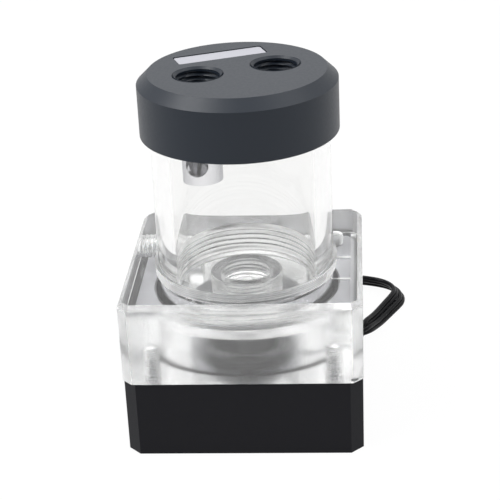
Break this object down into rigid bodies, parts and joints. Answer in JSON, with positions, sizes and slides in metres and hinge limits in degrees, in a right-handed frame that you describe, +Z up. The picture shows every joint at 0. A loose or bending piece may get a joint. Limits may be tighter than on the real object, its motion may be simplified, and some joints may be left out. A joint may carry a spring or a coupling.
{
  "type": "coolant pump reservoir",
  "caption": "Coolant pump with a black base, a clear pump block and a clear tube reservoir under a black screw cap with threaded ports.",
  "frame": {"origin": "middle of the underside of the black base, which stands on the table", "axes": "+Z up along the axis of the rotor, tube and cap; -X towards the side port; -Y towards the viewer of the plain front face; the lead leaves at the corner between +X and +Y"},
  "size_m": [0.084, 0.1115, 0.101],
  "materials": {
    "cover_black": "black anodised, satin",
    "screw_steel": "plain steel",
    "heat_pad": "soft, matte",
    "board_green": "solder mask",
    "chip_black": "moulded, matte",
    "housing_grey": "moulded, fine grain",
    "core_steel": "stacked sheet",
    "coil_copper": "enamelled copper",
    "rubber_black": "smooth",
    "bright_steel": "turned",
    "ceramic": "polished",
    "bearing_carbon": "fine, dull",
    "magnet_dark": "sintered, ground",
    "impeller_black": "moulded, satin",
    "clear_acrylic": "clear, machined and polished",
    "clear_rubber": "translucent",
    "cap_black": "turned, satin",
    "plate_silver": "fine matte",
    "bright_chrome": "polished",
    "wire_black": "smooth, slightly glossy",
    "plug_black": "moulded"
  },
  "bodies": {
    "base": {"base_cover": "cover_black", "case_screws": "screw_steel", "thermal_pad": "heat_pad", "circuit_board": "board_green", "board_parts": "chip_black", "motor_housing": "housing_grey", "stator_core": "core_steel", "stator_coils": "coil_copper", "chamber_o_ring": "rubber_black", "wear_ring": "bright_steel", "bearing_post": "bright_steel", "bearing_ball": "ceramic", "pump_block": "clear_acrylic", "tube_seal": "clear_rubber", "reservoir_tube": "clear_acrylic", "lead_bush": "rubber_black", "wire_lead": "wire_black", "wire_coil": "wire_black", "coil_tie": "plug_black", "wire_tail": "wire_black", "split_sleeve": "wire_black", "fan_lead": "wire_black", "fan_plug": "plug_black", "power_lead": "wire_black", "power_plug": "plug_black"},
    "rotor": {"bearing_cup": "bearing_carbon", "rotor_magnet": "magnet_dark", "impeller": "impeller_black", "impeller_front": "impeller_black"},
    "cap_ring": {"cap_seal": "rubber_black"},
    "cap": {"cap": "cap_black", "cap_plate": "plate_silver", "return_fitting": "bright_chrome"}
  },
  "joints": [
    {"name": "rotor_spin", "type": "hinge", "parent": "base", "child": "rotor", "pos_m": [0, 0, 0.0172], "axis": [0, 0, 1], "continuous": true},
    {"name": "cap_lift", "type": "slide", "parent": "base", "child": "cap_ring", "axis": [0, 0, 1], "range_m": [0, 0.008]},
    {"name": "cap_unscrew", "type": "hinge", "parent": "cap_ring", "child": "cap", "pos_m": [0, 0, 0.09], "axis": [0, 0, 1], "range_deg": [0, 1440]}
  ],
  "couplings": [
    {"joint": "cap_lift", "follows": "cap_unscrew", "m_per_rad": 0.0003183}
  ]
}
